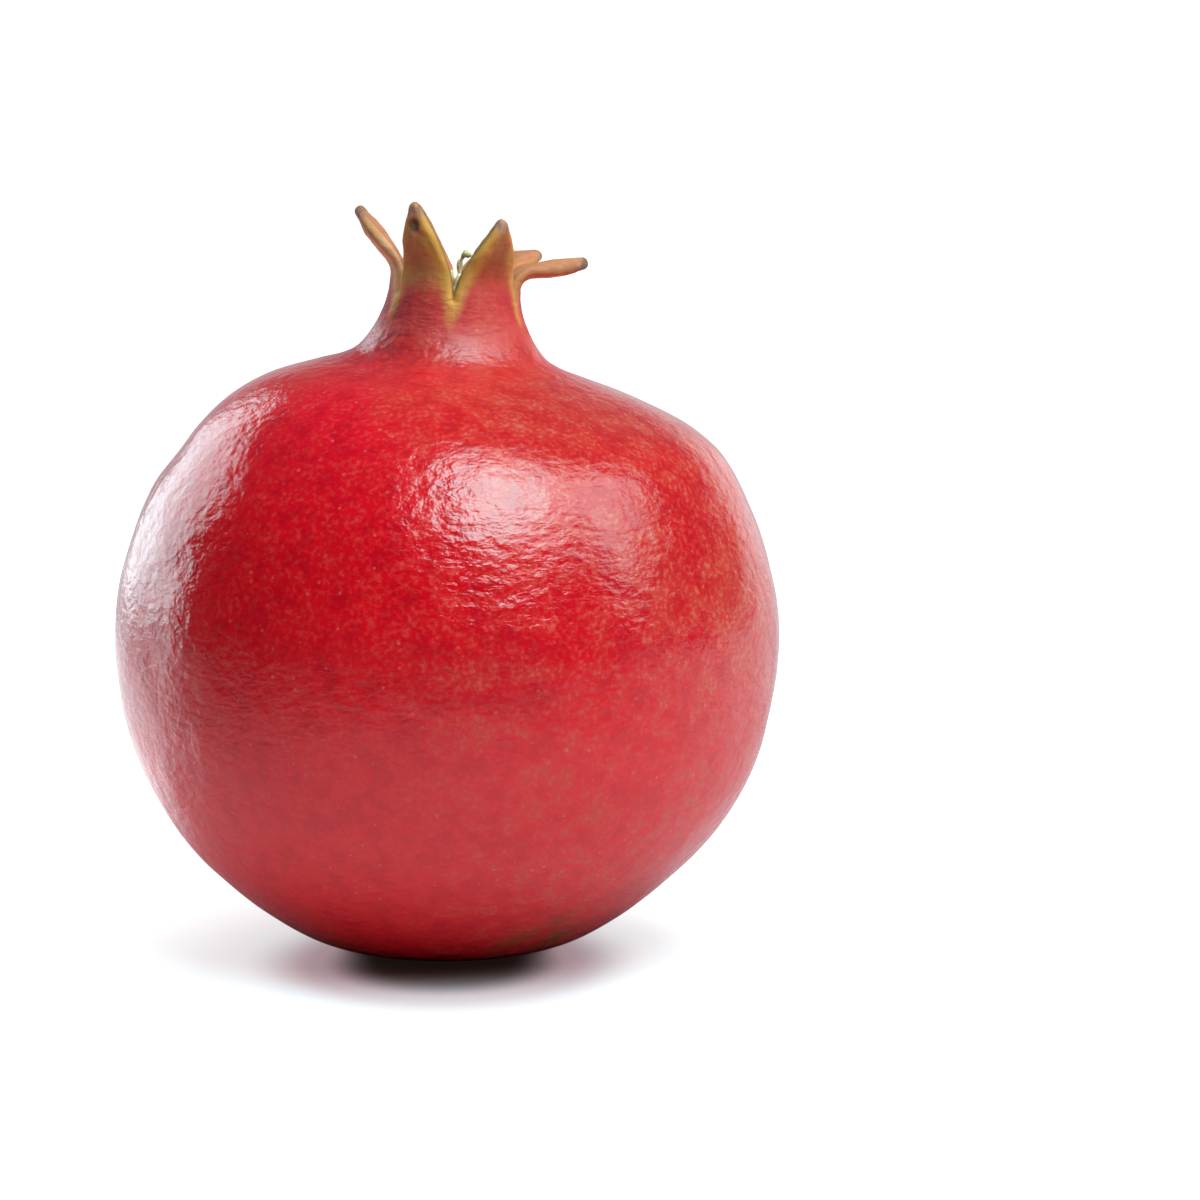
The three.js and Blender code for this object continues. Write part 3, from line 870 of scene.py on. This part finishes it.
def skin_colour(tree, where):
    """Red skin: crimson on one side, warmer on the other and above, paler below from painted light,
    and mottled.
    """
    at = parts_of(tree, where)

    # Side grows from the crimson side, at -X, to the warm one, and wanders with large patches.
    drift = use(tree, "mottle", where, Size=DRIFT_SIZE, Detail=2.0, Low=0.3, High=0.7)
    side = plus(tree, at["X"], times(tree, at["Y"], 0.25))
    side = plus(tree, side, times(tree, drift, DRIFT_SHIFT))
    colour = tint(tree, step(tree, side, -14.0, 34.0), CRIMSON, SCARLET)
    colour = tint(tree, step(tree, side, 22.0, 66.0, 0.0, 0.6), colour, ORANGE_RED)

    # The shoulders are lighter: coral on the crimson side and orange on the warm one.
    above = times(tree, step(tree, at["Z"], *SHOULDERS), step(tree, side, -20.0, 20.0, 0.2, 0.3))
    upper = tint(tree, step(tree, side, -20.0, 20.0), CORAL, ORANGE_RED)
    colour = tint(tree, above, colour, upper)
    # Painted light: the lower half is tinted a pale rose, standing in for light bounced up from the
    # floor.
    low = step(tree, at["Z"], *PAINTED_BOUNCE_HEIGHTS)
    colour = tint(tree, times(tree, low, 0.9), colour, ROSE_PAINTED_BOUNCE)

    # Warm patches, most on the warm side, with dark ones between them.
    patches = use(tree, "mottle", where, Size=3.4, Detail=4.0, Low=0.30, High=0.74)
    warm = times(tree, step(tree, patches, 0.35, 1.0), step(tree, side, -10.0, 40.0, 0.04, 0.4))
    colour = tint(tree, warm, colour, ORANGE_RED)
    dark = times(tree, step(tree, patches, 0.45, 0.05), step(tree, low, 0.0, 1.0, 0.3, 0.2))
    colour = tint(tree, dark, colour, DEEP_RED)

    # A fine greenish grain, thinner on the crimson side, below and at the foot of the neck.
    grain = use(tree, "mottle", where, Size=0.75, Detail=3.0, Low=0.43, High=0.78)
    often = plus(tree, 0.35, times(tree, patches, 0.9))
    often = times(tree, often, step(tree, side, -24.0, 30.0, 0.4, 1.0))
    often = times(tree, often, step(tree, low, 0.0, 1.0, 1.0, 0.4))
    often = times(tree, often, step(tree, at["Z"], *NECK_FOOT, 1.0, 0.4))
    grain = calc(tree, "MULTIPLY", grain, often, clamp=True)
    colour = tint(tree, grain, colour, FLECK, "ADD")
    pores = use(tree, "speckle", where, Spacing=1.6, Radius=0.28, Share=0.7)
    return tint(tree, times(tree, pores, 0.2), colour, PALE_PORE)


def sepal_colour(tree, where):
    """Sepals: a red-brown middle, ochre margins and thin dark edges, or peach where they dried."""
    names = ("rise", "edge", "inner", "tipward", "tone", "dry", "pale")
    rise, edge, inner, tipward, tone, dry, pale = (field(tree, name) for name in names)
    blade = field(tree, "blade", "Vector")
    laid = parts_of(tree, blade)
    upright = joined(tree, laid["X"], laid["Z"], laid["Y"])
    cloud = use(tree, "mottle", where, Size=2.4, Detail=4.0, Low=0.3, High=0.7)
    threads = use(tree, "fibre", upright, Width=0.4, Length=4.0, Low=0.35, High=0.7)
    wander = times(tree, calc(tree, "SUBTRACT", cloud, 0.5), 0.36)

    # Fresh sepals.
    margin = step(tree, plus(tree, field(tree, "middle"), wander), 0.22, 0.84)
    fresh = tint(tree, step(tree, tone, 0.3, 0.6), RUST, RED_BROWN)
    fresh = tint(tree, margin, fresh, OCHRE)
    fresh = tint(tree, times(tree, cloud, 0.25), fresh, OLIVE)
    fresh = tint(tree, times(tree, threads, 0.16), fresh, TERRACOTTA)

    # Dried ones: stained peach, with a darker swollen end.
    dried = tint(tree, pale, PEACH, PALE_PEACH)
    stained = times(tree, cloud, step(tree, pale, 0.3, 1.0, 0.7, 0.1))
    dried = tint(tree, stained, dried, TERRACOTTA)
    swollen = times(tree, step(tree, tipward, 0.5, 0.72, 0.0, 0.55), pale)
    dried = tint(tree, swollen, dried, TERRACOTTA)
    dried = tint(tree, times(tree, threads, 0.4), dried, OCHRE)
    outside = tint(tree, dry, fresh, dried)

    # The hard nub at the tip, and the thin dark edge of a fresh sepal.
    nub = tint(tree, threads, NUB, TERRACOTTA)
    outside = tint(tree, step(tree, tipward, 0.82, 0.92, 0.0, 0.85), outside, nub)
    thin = times(tree, step(tree, edge, 0.93, 0.99, 0.0, 0.55), step(tree, rise, 0.2, 1.2))
    thin = times(tree, thin, step(tree, dry, 0.6, 0.0))
    outside = tint(tree, thin, outside, DARK_BARK)

    # The inside, turning dark brown down in the cup.
    inside = tint(tree, times(tree, threads, 0.5), PEACH, TERRACOTTA)
    inside = tint(tree, step(tree, rise, *CUP_DEPTH, 0.0, 0.75), inside, WOOD)
    colour = tint(tree, step(tree, inner, 0.45, 0.75), outside, inside)

    # Tips that dried nearly black, and the pit of the last sepal.
    burnt = step(tree, plus(tree, tipward, times(tree, wander, 0.15)), 0.90, 0.97, 0.0, 0.8)
    burnt = times(tree, burnt, step(tree, pale, 0.3, 1.0, 0.8, 0.45))
    burnt = times(tree, burnt, step(tree, dry, 0.1, 0.5, 0.15, 1.0))
    colour = tint(tree, burnt, colour, DARK_BARK)
    pit_at = (*PIT, SEPAL_APART * (len(SEPALS) - 1))
    from_pit = scaled(tree, vector_calc(tree, "SUBTRACT", blade, pit_at), PIT_STRETCH)
    pit = step(tree, vector_calc(tree, "LENGTH", from_pit), 1.15, 0.55, 0.0, 0.75)
    pit = times(tree, pit, step(tree, inner, 0.6, 0.4))
    return tint(tree, pit, colour, DARK_BARK)


def make_rind_material():
    """Waxy red skin that turns to dry sepal at the crown, with a woody scar underneath."""
    material, tree, shader = new_material("pomegranate_rind")
    where = millimetres(tree)
    at = parts_of(tree, where)
    rise, edge, inner = (field(tree, name) for name in ("rise", "edge", "inner"))
    red = skin_colour(tree, where)

    # The neck is a little deeper, with dark streaks up its shaded side that are partly real streaks
    # and partly painted shade.
    on_neck = step(tree, rise, *NECK_START)
    red = tint(tree, times(tree, on_neck, 0.1), red, DEEP_RED)
    shaded = times(tree, on_neck, step(tree, at["X"], 0.0, -9.0))
    streaks = use(tree, "fibre", where, Width=0.9, Length=15.0, Low=0.36, High=0.68)
    red = tint(tree, times(tree, times(tree, shaded, streaks), 0.7), red, PURPLE_BROWN)

    # An olive patch low on the front right, near the floor.
    from_patch = vector_calc(tree, "DISTANCE", where, OLIVE_PATCH)
    cloud = use(tree, "mottle", where, Size=6.0, Detail=4.0, Low=0.35, High=0.65)
    olive = times(tree, step(tree, from_patch, *OLIVE_REACH), cloud)
    red = tint(tree, times(tree, olive, 0.7), red, OLIVE)

    # The skin turns to sepal a little above the notches, and lower down beside them.
    mottled = use(tree, "mottle", where, Size=1.8, Detail=4.0, Low=0.2, High=0.8)
    beside = step(tree, edge, 0.5, 1.0, 0.0, 5.0)
    level = calc(tree, "SUBTRACT", rise, field(tree, "reach"))
    level = plus(tree, plus(tree, level, times(tree, mottled, 1.6)), beside)
    turned = calc(tree, "MAXIMUM", step(tree, level, 0.2, 6.0), step(tree, inner, 0.4, 0.6))
    colour = tint(tree, turned, red, sepal_colour(tree, where))

    # The woody scar of the stem.
    from_axis = vector_calc(tree, "LENGTH", scaled(tree, where, (1, 1, 0)))
    woody = times(tree, step(tree, at["Z"], *SCAR_DEPTH), step(tree, from_axis, *SCAR_REACH))
    colour = tint(tree, woody, colour, tint(tree, cloud, WOOD, DARK_BARK))

    # Leathery wrinkles all over and rings round the neck, both flatter on the sepals.
    leather = use(tree, "wrinkle", scaled(tree, where, (0.75, 0.75, 1.3)), Size=1.7, Detail=3.8)
    relief = times(tree, leather, step(tree, on_neck, 0.0, 1.0, 0.25, 0.32))
    rings = use(tree, "wrinkle", scaled(tree, where, (0.5, 0.5, 1.4)), Size=0.9, Detail=1.5)
    relief = plus(tree, relief, times(tree, rings, times(tree, on_neck, 0.15)))
    relief = times(tree, relief, step(tree, rise, *SEPAL_START, 1.0, 0.5))
    bump = put(tree, "ShaderNodeBump", {"Strength": 1.0, "Distance": MM, "Height": relief})

    # The wax is glossy on the belly and duller up the neck; the sepals and the scar are matt.
    dull = plus(tree, times(tree, on_neck, 0.20), step(tree, rise, *NECK_END, 0.0, 0.40))
    matt = times(tree, calc(tree, "MAXIMUM", turned, woody), 0.54)
    rough = plus(tree, WAXY_ROUGHNESS, calc(tree, "MAXIMUM", dull, matt))
    dress(tree, shader, colour, rough, bump)
    shader.inputs["IOR"].default_value = WAX_IOR
    return material


# ---------------------------- the stamens' material

PALE_THREAD = (0.95, 0.74, 0.42)
BROWN_THREAD = (0.36, 0.16, 0.06)
PALE_ANTHER = (0.92, 0.70, 0.38)
BROWN_ANTHER = (0.16, 0.08, 0.035)
STRAW = (0.62, 0.45, 0.22)


def make_stamen_material():
    """Dry fibrous threads, from pale to brown, with darker anthers."""
    material, tree, shader = new_material("dried_stamens")
    where = millimetres(tree)
    tone = step(tree, field(tree, "tone"), 0.2, 0.5)
    thread = tint(tree, tone, PALE_THREAD, BROWN_THREAD)
    anther = tint(tree, tone, PALE_ANTHER, BROWN_ANTHER)
    colour = tint(tree, step(tree, field(tree, "tipward"), 0.82, 0.9), thread, anther)
    specks = use(tree, "speckle", where, Spacing=0.45, Radius=0.16, Share=0.7)
    colour = tint(tree, times(tree, specks, 0.4), colour, DARK_BARK)
    fibres = use(tree, "fibre", where, Width=0.12, Length=1.5, Low=0.3, High=0.7)
    colour = tint(tree, times(tree, fibres, 0.3), colour, STRAW)
    bump = put(tree, "ShaderNodeBump", {"Strength": 0.8, "Distance": 0.03 * MM, "Height": fibres})
    dress(tree, shader, colour, step(tree, fibres, 0.0, 1.0, 0.62, 0.8), bump)
    return material


# ---------------------------- the studio

WHITE = (1.0, 1.0, 1.0)
BLACK = (0.0, 0.0, 0.0)

FLOOR_HALF = 6.0  # metres
PAPER = (0.42, 0.39, 0.395)
PAPER_FLECK = (0.44, 0.41, 0.415)
# Painted shade: the paper's colour close under the fruit.
PAPER_PAINTED_SHADE = (0.05, 0.035, 0.042)  # close under the fruit
PAPER_IN_FRONT = (0.05, 0.05, 0.05)
COOL_WHITE = (0.93, 1.0, 1.0)
SHADOW_CORE = (0.009, 0.005, 0.004)
SHADOW_FRINGE = (0.35, 0.25, 0.275)
SHADOW_SHIFT = (0, 13, 0)  # moves the shadow's middle towards the camera, in millimetres
SHADOW_STRETCH = (1, 0.72, 0)
SIDE_GLOW = (0.92, 0.98, 1.04)
RED_BOUNCE = (0.32, 0.16, 0.18)
TO_THE_LEFT = (-0.85, 0.5, 0)
TO_THE_RIGHT = (0.7, 0.7, 0)


def show(name, data):
    """Adds an object for a mesh, light or camera."""
    thing = bpy.data.objects.new(name, data)
    bpy.context.scene.collection.objects.link(thing)
    return thing


def make_floor():
    """A large floor that glows white to the camera, with a painted shadow under the fruit, and to
    the fruit glows like paper lit in places.
    """
    mesh = bpy.data.meshes.new("studio_floor")
    h = FLOOR_HALF
    mesh.from_pydata([(-h, -h, 0), (h, -h, 0), (h, h, 0), (-h, h, 0)], [], [(0, 1, 2, 3)])
    floor = show("studio_floor", mesh)
    material, tree, shader = new_material("studio_paper")
    where = millimetres(tree)
    at = parts_of(tree, where)
    seen = tree.nodes.new("ShaderNodeLightPath").outputs["Is Camera Ray"]
    from_middle = vector_calc(tree, "LENGTH", where)

    # The paper, darkened by painted shade close under the fruit, and, to all but the camera, also
    # dark in front of it.
    grain = use(tree, "mottle", where, Size=0.8, Detail=2.0, Low=0.3, High=0.7)
    paper = tint(tree, grain, PAPER, PAPER_FLECK)
    paper = tint(tree, step(tree, from_middle, 12.0, 42.0), PAPER_PAINTED_SHADE, paper)
    sideways = times(tree, calc(tree, "ABSOLUTE", at["X"]), 0.5)
    backward = calc(tree, "SUBTRACT", at["Y"], sideways)
    shown = calc(tree, "MAXIMUM", seen, step(tree, backward, -480.0, -50.0))
    tree.links.new(tint(tree, shown, PAPER_IN_FRONT, paper), shader.inputs["Base Color"])

    # To the camera: white, with a painted dark contact shadow and a soft purplish fringe round it.
    shadow = scaled(tree, vector_calc(tree, "ADD", where, SHADOW_SHIFT), SHADOW_STRETCH)
    away = vector_calc(tree, "LENGTH", shadow)
    near = times(tree, step(tree, away, 8.0, 30.0, 0.0, 0.68), step(tree, from_middle, 8.0, 18.0))
    lit = plus(tree, near, step(tree, away, 26.0, 66.0, 0.0, 0.32))
    fringe = tint(tree, step(tree, lit, 0.0, 0.3), SHADOW_CORE, SHADOW_FRINGE)
    open_floor = tint(tree, step(tree, from_middle, 70.0, 110.0), COOL_WHITE, WHITE)
    white = tint(tree, step(tree, lit, 0.3, 1.0), fringe, open_floor)

    # To the fruit: the floor glows bright on its left and right, with a painted red bounce of the
    # fruit's own light close round it.
    left = vector_calc(tree, "DOT_PRODUCT", where, TO_THE_LEFT)
    right = vector_calc(tree, "DOT_PRODUCT", where, TO_THE_RIGHT)
    glow = times(tree, step(tree, left, 50.0, 130.0, 0.0, 1.6), step(tree, backward, -70.0, 10.0))
    glow = times(tree, glow, step(tree, from_middle, 250.0, 500.0, 1.0, 0.12))
    glow = calc(tree, "MAXIMUM", glow, step(tree, right, 20.0, 300.0, 0.0, 0.55))
    glow = tint(tree, glow, BLACK, SIDE_GLOW)
    bounce = times(tree, step(tree, from_middle, 20.0, 60.0), step(tree, from_middle, 220.0, 80.0))
    glow = tint(tree, bounce, glow, RED_BOUNCE, "ADD")
    tree.links.new(tint(tree, seen, glow, white), shader.inputs["Emission Color"])
    shader.inputs["Emission Strength"].default_value = 1.0
    shader.inputs["Roughness"].default_value = 0.6
    shader.inputs["Specular IOR Level"].default_value = 0.3
    mesh.materials.append(material)


ROOM = (0.9, 0.97, 1.03)
DIM = 0.04  # how bright the room is all round the fruit


def make_world():
    """White behind the fruit for the camera; for the fruit, a bright low back and a dim room."""
    world = bpy.data.worlds.new("studio")
    bpy.context.scene.world = world
    world.use_nodes = True
    tree = world.node_tree
    tree.nodes.clear()
    heading = parts_of(tree, tree.nodes.new("ShaderNodeTexCoord").outputs["Generated"])
    rightward = step(tree, heading["X"], -0.3, 0.3, 0.52, 0.8)
    back = times(tree, step(tree, heading["Y"], 0.5, 0.9), rightward)
    low = step(tree, heading["Z"], 0.4, 0.1, 0.12, 1.0)
    glow = plus(tree, DIM, times(tree, back, low))
    room = put(tree, "ShaderNodeBackground", {"Color": ROOM, "Strength": glow})
    seen = put(tree, "ShaderNodeBackground", {"Color": WHITE, "Strength": 1.0})
    camera_ray = tree.nodes.new("ShaderNodeLightPath").outputs["Is Camera Ray"]
    both = {0: camera_ray, 1: room.outputs[0], 2: seen.outputs[0]}
    both = put(tree, "ShaderNodeMixShader", both)
    put(tree, "ShaderNodeOutputWorld", {"Surface": both.outputs[0]})


PANEL_DISTANCE = 0.9
PANEL_TARGET = Vector((0, 0, 0.05))
# The soft panels: angles in degrees, sizes in metres. The key and side lights are ellipses inside
# one another, with less red the further in, so that their glints stay cool on the red skin.
PANELS = table(
    ("name", "azimuth", "elevation", "turn", "width", "height", "radiance", "tone", "shape"),
    [
        ("key_outer", 43, 58, -17, 0.74, 1.04, 2.2, (0.95, 1.0, 1.02), "ELLIPSE"),
        ("key_middle", 34, 57, -17, 0.64, 0.86, 2.2, (0.75, 1.0, 1.02), "ELLIPSE"),
        ("key_inner", 25, 56, -17, 0.54, 0.70, 2.7, (0.45, 1.0, 1.03), "ELLIPSE"),
        ("key_heart", 21, 55, -17, 0.44, 0.54, 3.0, (0.1, 1.0, 1.03), "ELLIPSE"),
        ("side_outer", 82, 37, -47, 0.50, 0.78, 2.0, (0.8, 1.0, 1.02), "ELLIPSE"),
        ("side_strip", 77, 38, -47, 0.36, 0.64, 1.7, (0.55, 1.0, 1.02), "ELLIPSE"),
        ("left_panel", -134, 15, 0, 0.66, 0.60, 3.2, (0.74, 0.96, 1.02), "RECTANGLE"),
        ("right_panel", 148, 8, 0, 0.5, 0.45, 0.5, (0.95, 0.98, 1.02), "RECTANGLE"),
    ],
)


def make_panel(name, azimuth, elevation, turn, width, height, radiance, tone, shape):
    """A soft panel of light that faces the fruit and is hidden from the camera."""
    light = bpy.data.lights.new(name, "AREA")
    light.shape, light.size, light.size_y = shape, width, height
    area = width * height * (pi / 4 if shape == "ELLIPSE" else 1)
    light.energy = radiance * pi * area
    light.color = tone
    a, e = radians(azimuth), radians(elevation)
    away = Vector((sin(a) * cos(e), -cos(a) * cos(e), sin(e)))
    facing = away.to_track_quat("Z", "Y").to_matrix().to_4x4()
    facing = facing @ Matrix.Rotation(radians(turn), 4, "Z")
    panel = show(name, light)
    panel.matrix_world = Matrix.Translation(PANEL_TARGET + away * PANEL_DISTANCE) @ facing
    panel.visible_camera = False


CAMERA_DISTANCE = 0.9
CAMERA_ELEVATION = 8.0
SENSOR_WIDTH = 36.0
FRAME_WIDTH = 0.1719  # what the frame spans at the fruit
FRUIT_LEFT = 0.0221  # how far the fruit's axis is left of the frame's middle
FRAME_MIDDLE = 0.0503  # the height of the frame's middle, at the fruit's axis


def make_camera():
    lens = bpy.data.cameras.new("camera")
    lens.sensor_width = SENSOR_WIDTH
    lens.lens = SENSOR_WIDTH * CAMERA_DISTANCE / FRAME_WIDTH
    camera = show("camera", lens)
    e = radians(CAMERA_ELEVATION)
    target = Vector((FRUIT_LEFT, 0, FRAME_MIDDLE))
    camera.location = target + Vector((0, -cos(e), sin(e))) * CAMERA_DISTANCE
    camera.rotation_euler = (radians(90) - e, 0, 0)
    bpy.context.scene.camera = camera


# ---------------------------- putting it together


def place(mesh, material, node):
    """Shows a mesh as a piece that stands for a CAD node."""
    mesh.materials.append(material)
    piece = show(mesh.name, mesh)
    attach(piece, "root")
    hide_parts(node)


make_camera()
make_world()
for panel in PANELS:
    make_panel(**panel)
place(make_rind(), make_rind_material(), "rind")
place(make_stamens(), make_stamen_material(), "stamens")
make_floor()
bpy.context.scene.view_settings.view_transform = "Standard"
